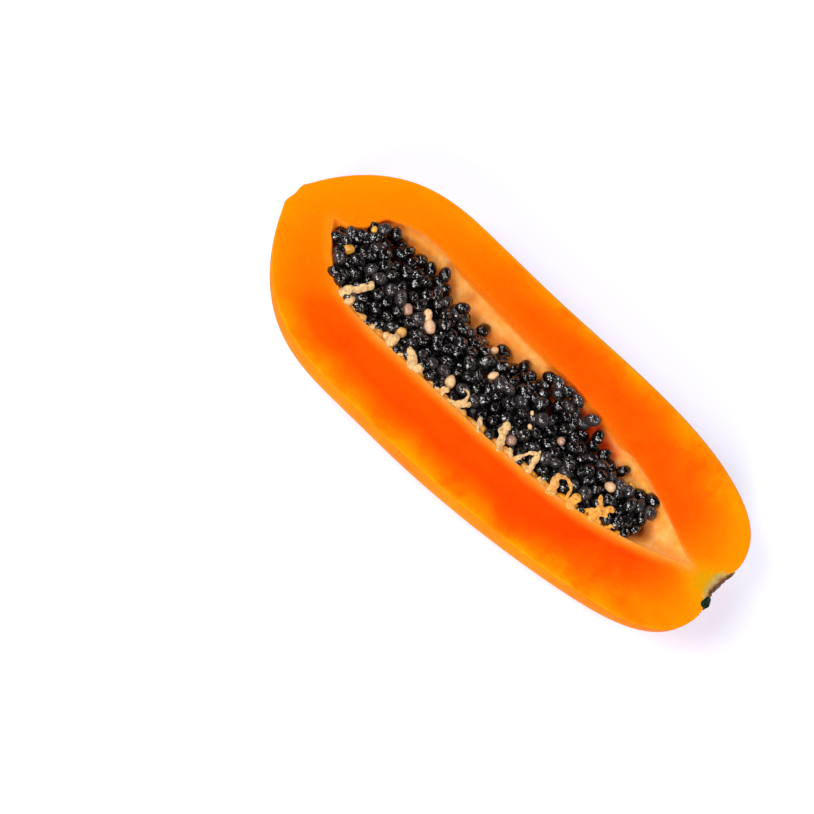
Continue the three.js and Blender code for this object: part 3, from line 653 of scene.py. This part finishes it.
# ---- The placenta ----
# The pale tissue that the seeds hung from: a soft ridge along one rim of the cavity, from which torn strands
# and shreds reach over the seeds. It has grown as one with the flesh. Each shred: points as s, distance from
# the rim and height over the cut face, then three radii from root to tip.
SHREDS = (
    (((43.5, -0.5, -1.6), (44.5, 2.5, 0.3), (46.5, 6, 1.3), (48.8, 9.8, 1.5), (50.4, 13, 0.9)),
     (1.9, 1.6, 1.3)),
    (((50, 10.6, 1.2), (49.5, 12, 1.7), (48.6, 13.6, 1.3)), (0.9, 0.9, 0.8)),
    (((46.9, -0.8, -1.8), (47.7, 1.2, 0), (49, 3, 0.6)), (1.7, 1.9, 1.8)),
    (((61, -0.8, -1.6), (61.4, 0.6, -0.3), (61, 1.6, 0)), (1.3, 1.1, 0.9)),
    (((70.6, -0.8, -1.8), (71.2, 1.5, 0), (70.8, 3.5, 1), (70.1, 5.4, 0.9)), (1.2, 2.2, 1.1)),
    (((75.5, -0.8, -1.6), (76.2, 0.4, -0.4), (77.4, 1.4, -0.1)), (1.2, 0.9, 0.7)),
    (((83.8, -0.8, -1.8), (82.4, 1.4, 0.2), (80.2, 2.9, 1.1), (76.9, 4.8, 0.9)), (2, 1.6, 1.4)),
    (((84.8, -0.8, -1.8), (85.8, 1, 0), (87.5, 2.4, 0.6)), (1.7, 1.8, 1.6)),
    (((99.8, -0.8, -1.6), (99.5, 1, 0), (99.6, 3.2, 1)), (0.8, 0.9, 2.1)),
    (((103, -0.6, -1.6), (105.6, 1.2, 0.4), (107.9, 3.4, 1.3), (107.8, 6.2, 1.8), (105.9, 7.8, 1.6),
      (103.8, 7.2, 1.1)), (0.9, 0.75, 0.55)),
    (((104.4, -0.5, -1.8), (107.4, 2.2, 0.2), (110.8, 5, 0.7)), (1.1, 1.1, 1.3)),
    (((119.6, -0.8, -1.6), (118.6, 1.6, 0.2), (116.8, 3.6, 0.6)), (1.3, 1.1, 0.9)),
    (((130.7, -0.8, -1.8), (129.3, 1.6, 0.3), (127.6, 5, 1.4), (126.2, 9.8, 1.3)), (1.8, 1.6, 2.5)),
    (((137.2, -0.8, -1.6), (135.8, 0.8, 0), (133.2, 2.2, 0.6)), (1.2, 1, 0.9)),
    (((137.8, -0.6, -1.6), (139.2, 3, 0.5), (141, 6, 1.2), (143.4, 8.6, 1.4)), (0.9, 0.75, 0.7)),
    (((146, -0.8, -1.8), (145, 2.2, 0.3), (144, 5.4, 1.3), (143.2, 10.2, 1.2)), (1.4, 1.3, 1)),
    (((150.4, -0.8, -1.6), (150.8, 0.6, -0.4), (151.4, 1.6, -0.2)), (1.3, 1, 0.8)),
    (((157.4, -0.8, -1.8), (156.2, 1.8, 0.3), (155.4, 4.6, 1.3), (155, 7.4, 1.1)), (2.0, 1.7, 1.4)),
    (((155.4, 6.4, 1.2), (158, 7.2, 1.8), (160.6, 6.4, 1.7), (162.6, 4.4, 1.1), (163.2, 1.6, 0),
      (163, -0.6, -1.6)), (1.0, 0.85, 1.1)),
    (((166.8, -0.8, -1.8), (166.2, 2, 0.5), (166.6, 5.2, 1.1)), (2.2, 2.1, 1.5)),
    (((176, -0.8, -1.8), (176.4, 1.8, 0.2), (176.8, 4, 1.2)), (2.1, 1.8, 1.6)),
    (((176.8, 3.4, 1.1), (174.8, 6.4, 1.7), (172.6, 10.4, 1.2)), (1.7, 1.3, 0.8)),
    (((176.8, 3.4, 1.1), (178.6, 6.2, 1.7), (181.2, 7.4, 1.2)), (1.6, 1.3, 0.9)),
    (((176.8, 3.2, 0.9), (179.2, 3.4, 1.2), (181.4, 2.4, 0.9)), (1.3, 1, 0.7)),
    (((172.2, 1.4, -0.6), (174.4, 2.8, 0.6), (176.6, 3, 0.9)), (1, 1, 1.1)),
    (((182.2, -0.6, -1.6), (183.8, 1.2, 0), (186, 0.8, -0.4)), (1, 0.8, 0.6)))


def tube(path, radii, sides=12, flatness=1.0):
    """Rings of points round a path in millimetres, each square to it, closed by a point at each end.
    Flatness is the height of a ring over its width."""
    ahead = np.gradient(path, axis=0)
    ahead /= np.linalg.norm(ahead, axis=1, keepdims=True)
    aside = np.cross([0, 0, 1], ahead)
    aside /= np.linalg.norm(aside, axis=1, keepdims=True)
    over = np.cross(ahead, aside)
    around = 2 * np.pi * np.arange(sides)[None, :, None] / sides
    ring = np.cos(around) * aside[:, None] + flatness * np.sin(around) * over[:, None]
    rings = (path[:, None] + radii[:, None, None] * ring).reshape(-1, 3)
    return np.concatenate([rings, path[:1], path[-1:]]), tube_faces(len(path), sides)


def curve_through(points, count):
    """A smooth path through the points: between two of them a cubic whose slope at each is half the step
    from its neighbour before to its neighbour after."""
    points = np.array(points, float)
    padded = np.vstack([2 * points[0] - points[1], points, 2 * points[-1] - points[-2]])
    along = np.linspace(0, len(points) - 1 - 1e-9, count)
    i = along.astype(int)
    t = (along - i)[:, None]
    before, start, stop, after = padded[i], padded[i + 1], padded[i + 2], padded[i + 3]
    slope_in, slope_out = (stop - before) / 2, (after - start) / 2
    return (start * (2 * t**3 - 3 * t**2 + 1) + slope_in * (t**3 - 2 * t**2 + t)
            + stop * (3 * t**2 - 2 * t**3) + slope_out * (t**3 - t**2))


def shred(points, radii):
    """A flattened, lumpy tube: its radius follows the three given ones, swells where it grows out of the rim
    and rounds off at the tip as sqrt(1 - t^10)."""
    course = curve_through(points, 30)
    t = np.linspace(0, 1, 30)
    s = course[:, 0] + 0.15 * np.sin(17 * t + course[0, 0])
    path = np.column_stack([s, CAVITY_Y - cavity_half_width(course[:, 0]) + course[:, 1], course[:, 2]])
    thick = np.interp(t, [0, 0.5, 1], radii) * np.sqrt(1.0001 - t**10)
    rooted = course[0, 2] < -1
    thick *= 1 + (0.7 * np.exp(-t / 0.12) if rooted else 0)
    thick *= 1 + 0.12 * np.sin(15 * t + 3 * course[0, 0]) + 0.07 * np.sin(31 * t + course[0, 0])
    return tube(path, thick, flatness=0.8)


RIDGE_START, RIDGE_END, RIDGE_TAPER = 36, 192, 10
RIDGE_RADIUS, RIDGE_INSET, RIDGE_BELOW = 1.75, 0.7, 2.5
ridge_s = np.linspace(RIDGE_START, RIDGE_END, 240)
ridge_end = np.clip(np.minimum(ridge_s - RIDGE_START, RIDGE_END - ridge_s) / RIDGE_TAPER, 0.02, 1)
ridge = np.column_stack([
    ridge_s, CAVITY_Y - cavity_half_width(ridge_s) + RIDGE_INSET + 0.35 * np.sin(ridge_s * 0.9),
    -RIDGE_BELOW + 0.3 * np.sin(ridge_s * 0.71)])
ridge_radii = RIDGE_RADIUS + 0.4 * np.sin(ridge_s * 0.53 + 1) + 0.3 * np.sin(ridge_s * 1.37)
ridge_radii = ridge_radii * ridge_end**0.5
points, faces = joined([tube(ridge, ridge_radii, sides=16)] + [shred(*row) for row in SHREDS])
placenta = new_mesh("placenta_strands", place(*points.T), faces)

# The strands and the ridge are one growth, so they are fused and smoothed into one skin.
fuse = placenta.modifiers.new("fuse", "REMESH")
fuse.mode, fuse.voxel_size, fuse.use_smooth_shade = "VOXEL", 0.0003, True
ragged = bpy.data.textures.new("ragged", "CLOUDS")
ragged.noise_scale, ragged.noise_depth = 0.0032, 1
fray = placenta.modifiers.new("fray", "DISPLACE")
fray.texture, fray.strength, fray.mid_level, fray.texture_coords = ragged, 0.0017, 0.5, "LOCAL"
soften = placenta.modifiers.new("soften", "SMOOTH")
soften.factor, soften.iterations = 0.5, 3

# Papaya placenta: spongy, moist and see-through, cream at the strands' ends and orange where it meets the
# flesh.
tree, spot = new_material("papaya placenta, moist", placenta)
x, _, z = add(tree, "SeparateXYZ", [spot]).outputs
soft_noise = add(tree, "TexNoise", {"Vector": spot, "Scale": 260, "Detail": 3})
up = add(tree, "MapRange", [z, 0.0445, 0.0482])
blend = add(tree, "Math", [soft_noise, 0.6, up], operation="MULTIPLY_ADD")
colour = add(tree, "ValToRGB", [blend], stops=[
    (0.3, "#e0840e"), (0.6, "#d88c2a"), (0.95, "#d3a05a"), (1, "#dcb680")])
# Towards the stem end it is a deeper yellow.
deep = add(tree, "MapRange", [x, 0.026, 0.046, 0, 0.75])
colour = add(tree, "Mix", {0: deep, 6: colour, 7: "#ec9a1a"}, data_type="RGBA")
# Painted shade and painted highlights: the pits' noise, which also bumps the surface, darkens the colour in
# the hollows and lightens it on the rises.
pits = add(tree, "TexNoise", {"Vector": spot, "Scale": 620, "Detail": 4, "Roughness": 0.6})
painted_crease_shade_and_highlight = add(tree, "MapRange", [pits, 0.34, 0.6, 0.68, 1.26])
colour = add(tree, "HueSaturation", {"Color": colour, "Value": painted_crease_shade_and_highlight})
bump = add(tree, "Bump", {"Height": pits, "Strength": 0.8, "Distance": 0.0014})
shader = add(tree, "BsdfPrincipled", {
    "Base Color": colour, "Roughness": 0.35, "Normal": bump, "IOR": 1.38, "Specular IOR Level": 0.3,
    "Subsurface Weight": 0.5, "Subsurface Scale": 0.0015, "Subsurface Radius": (1, 0.6, 0.25)})
add(tree, "OutputMaterial", [shader])
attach(placenta, "root")
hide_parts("placenta")

# ---- The stem's stub ----
# What is left of the woody stem in the stem end's dimple: a short, torn plug that the knife went through,
# with a dark green lump of bark on it.
STUB_RADIUS, STUB_Y, STUB_SUNK = 10.5, 3.6, 5.5
STUB_PROUD, STUB_TEARS, STUB_END = 0.3, 0.28, 233.4
STUB_OVER, STUB_RIM_DIP = 0.05, 0.3  # the plug's middle is this much over the cut face, and its rim under it
BARK_PLACE, BARK_HALF_SIZES = (231.9, -4.4, -0.7), (1.9, 2.9, 1.6)
floor_s = LENGTH - STEM_DIMPLE_DEPTH
share = np.linspace(0, 1, 22)[:, None]  # of the radius
turn = np.pi * (1 + np.arange(61) / 60)[None, :]
stub_radius = STUB_RADIUS * share * (1 + 0.03 * np.sin(7 * turn) + 0.02 * np.sin(17 * turn + 1))
risen = STEM_DIMPLE_DEPTH * (1 - (1 - (stub_radius / STEM_DIMPLE_RADIUS) ** 2) ** 2)
tears = np.sin(9 * turn + 5 * share) + 0.8 * np.sin(23 * turn - 7 * share) + 0.6 * np.sin(14 * share * np.pi)
outer_s = floor_s + STUB_PROUD + risen + STUB_TEARS * tears * np.clip(4 * share, 0, 1)
inner_s = floor_s - STUB_SUNK + 3.5 * share**2 + 0 * turn
stub_y, stub_height = STUB_Y + stub_radius * np.cos(turn), STUB_OVER + stub_radius * np.sin(turn)
outer_face = place(np.minimum(outer_s, STUB_END), stub_y, stub_height)
inner_face = place(inner_s, stub_y, stub_height)
# The knife's cut through the plug: from the inner face to the outer one, on both sides of its middle.
steps = np.linspace(0, 1, 12)[None, :, None]
cuts = [inner_face[:, None, j] * (1 - steps) + outer_face[:, None, j] * steps for j in (0, -1)]
side_steps = steps[0][:, None, :]
side = inner_face[-1, None] * (1 - side_steps) + outer_face[-1, None] * side_steps
# Each point knows how far it lies from the inner face, at 0, to the outer one, and from the plug's middle to
# its rim.
sheets = ((outer_face, 1, share), (inner_face, 0, share), (cuts[0], steps[..., 0], share),
          (cuts[1], steps[..., 0], share), (side, steps[0], 1))
outward = np.concatenate([np.broadcast_to(out, sheet.shape[:2]).ravel() for sheet, out, _ in sheets])
beside = np.concatenate([np.broadcast_to(aside, sheet.shape[:2]).ravel() for sheet, _, aside in sheets])
points, faces = joined([(sheet.reshape(-1, 3), grid_faces(*sheet.shape[:2])) for sheet, _, _ in sheets])
points[:, 2] -= STUB_RIM_DIP / 1000 * np.maximum(beside**6, (1 - outward) ** 4)
points, faces, kept_points, _ = welded(points, faces)
stub = new_mesh("stem_stub_torn", points, faces, outward=outward[kept_points], beside=beside[kept_points])

u, v = np.meshgrid(2 * np.pi * np.arange(41) / 40, np.linspace(0, np.pi, 25))
lump = 1 + 0.07 * np.sin(3 * u + 2 * v) + 0.05 * np.sin(5 * u - 4 * v + 1) * np.sin(v)
ball = (np.sin(v) * np.cos(u), np.sin(v) * np.sin(u), np.cos(v))
lump_points = place(*(BARK_PLACE[i] + BARK_HALF_SIZES[i] * lump * ball[i] for i in range(3)))
points, faces, _, _ = welded(lump_points.reshape(-1, 3), grid_faces(25, 41))
bark = new_mesh("bark_lump", points, faces)

# Stem wood: moist and ochre where it has grown into the flesh, beige and stringy further out, and a dry
# brown scab where it tore.
tree, spot = new_material("papaya stem, torn fibre", stub)
stretched = add(tree, "Mapping", {"Vector": spot, "Scale": (0.35, 1, 1)})
fibres = add(tree, "TexNoise", {"Vector": stretched, "Scale": 900, "Detail": 5, "Roughness": 0.65})
patches = add(tree, "TexNoise", {"Vector": spot, "Scale": 320, "Detail": 3})
patches = add(tree, "Math", [patches, 0.5], operation="SUBTRACT")
torn = add(tree, "Attribute", attribute_name="outward").outputs["Fac"]
torn = add(tree, "Math", [patches, 0.7, torn], operation="MULTIPLY_ADD")
colour = add(tree, "ValToRGB", [torn], stops=[
    (0.1, "#d99606"), (0.4, "#cd9d18"), (0.62, "#be9b48"),
    (0.76, "#b8935a"), (0.88, "#8a6030"), (1, "#5c3614")])
# Its inner rim has the flesh's colour.
rim = add(tree, "Attribute", attribute_name="beside").outputs["Fac"]
rim = add(tree, "MapRange", [rim, 0.5, 0.95, 0, 0.9])
inner = add(tree, "MapRange", [torn, 0.55, 0.8, 1, 0])
rim = add(tree, "Math", [rim, inner], operation="MULTIPLY")
colour = add(tree, "Mix", {0: rim, 6: colour, 7: "#f98e04"}, data_type="RGBA")
streak = add(tree, "MapRange", [fibres, 0.3, 0.7, 0.82, 1.1])
colour = add(tree, "HueSaturation", {"Color": colour, "Value": streak})
bump = add(tree, "Bump", {"Height": fibres, "Strength": 0.8, "Distance": 0.0006})
shader = add(tree, "BsdfPrincipled", {
    "Base Color": colour, "Roughness": 0.7, "Normal": bump, "IOR": 1.45, "Specular IOR Level": 0.3})
add(tree, "OutputMaterial", [shader])

# Papaya bark: a leathery dark green rind with a slight shine.
tree, spot = new_material("papaya bark, dark green", bark)
rind = add(tree, "TexNoise", {"Vector": spot, "Scale": 650, "Detail": 4})
colour = add(tree, "ValToRGB", [rind], stops=[(0.3, "#030e07"), (0.55, "#08200f"), (0.8, "#1f3a18")])
bump = add(tree, "Bump", {"Height": rind, "Strength": 0.6, "Distance": 0.0006})
shader = add(tree, "BsdfPrincipled", {
    "Base Color": colour, "Roughness": 0.4, "Normal": bump, "IOR": 1.45, "Specular IOR Level": 0.15})
add(tree, "OutputMaterial", [shader])

for piece in (stub, bark):
    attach(piece, "root")
    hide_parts("stem_stub")

# ---- The table, the light and the camera ----
# A wide, pale, slightly glossy table that glows faintly, in a room that is bright at the horizon, warm and
# dimmer above it and dark overhead, with large soft lamps on several sides.
TABLE_HALF = 3.0
floor_points = TABLE_HALF * np.array([[-1, -1, 0], [1, -1, 0], [1, 1, 0], [-1, 1, 0]])
floor = new_mesh("table", floor_points, np.array([[0, 1, 2], [0, 2, 3]]))
tree, spot = new_material("white lacquered table", floor)
haze = add(tree, "TexNoise", {"Vector": spot, "Scale": 12, "Detail": 2})
rough = add(tree, "MapRange", [haze, 0, 1, 0.25, 0.27])
shader = add(tree, "BsdfPrincipled", {
    "Base Color": "#eff1f9", "Roughness": rough, "Emission Color": "#b4d0ff", "Emission Strength": 0.22})
add(tree, "OutputMaterial", [shader])

world = bpy.data.worlds.new("studio room")
world.use_nodes = True
tree = world.node_tree
tree.nodes.clear()
way_up = add(tree, "SeparateXYZ", [add(tree, "TexCoord").outputs["Generated"]]).outputs["Z"]
walls = add(tree, "ValToRGB", [way_up], stops=[
    (0.07, "#f6f6fc"), (0.13, "#97827d"), (0.28, "#97827d"), (0.5, "#463f3e")])
add(tree, "OutputWorld", [add(tree, "Background", [walls])])
bpy.context.scene.world = world

# Wide, far lamps: where the light of each comes from, the angle in degrees that it is spread over, and its
# strength.
for name, comes_from, spread, strength in (
        ("key softbox", (-0.45, -0.42, 0.79), 22, 1.64), ("fill softbox", (0.12, -0.8, 0.58), 22, 1.55),
        ("back softbox", (0.3, 0.8, 0.5), 16, 0.5), ("stem end's softbox", (0.75, -0.1, 0.65), 16, 0.5),
        ("blossom end's softbox", (-0.8, 0.2, 0.57), 16, 0.65),
        ("high softbox", (0.1, -0.35, 0.93), 16, 0.6)):
    light = bpy.data.lights.new(name, "SUN")
    light.angle, light.energy = np.radians(spread), strength
    lamp = bpy.data.objects.new(name, light)
    lamp.rotation_euler = (-Vector(comes_from)).to_track_quat("-Z", "Y").to_euler()
    bpy.context.scene.collection.objects.link(lamp)

# The camera looks down on the cut face, rolled so that the fruit lies aslant in its view.
ELEVATION, AZIMUTH, ROLL = np.radians([66.8, -4.47, 40.2])
DISTANCE, AIM = 0.7711, np.array([-0.024, -0.02675, 0.03])
FOCAL_LENGTH = 85.0
forward = np.array([np.sin(AZIMUTH), np.cos(AZIMUTH), 0])
ahead = np.cos(ELEVATION) * forward - np.array([0, 0, np.sin(ELEVATION)])
level = np.array([np.cos(AZIMUTH), -np.sin(AZIMUTH), 0])
upward = np.cross(level, ahead)
right = np.cos(ROLL) * level + np.sin(ROLL) * upward
up = -np.sin(ROLL) * level + np.cos(ROLL) * upward
camera = bpy.data.objects.new("camera", bpy.data.cameras.new("camera"))
camera.data.lens, camera.data.sensor_width = FOCAL_LENGTH, 36.0
camera.data.clip_start, camera.data.clip_end = 0.01, 20
turned = Matrix(np.stack([right, up, -ahead], axis=1)).to_4x4()
camera.matrix_world = Matrix.Translation(AIM - ahead * DISTANCE) @ turned
bpy.context.scene.collection.objects.link(camera)
bpy.context.scene.camera = camera
bpy.context.scene.view_settings.view_transform = "Standard"
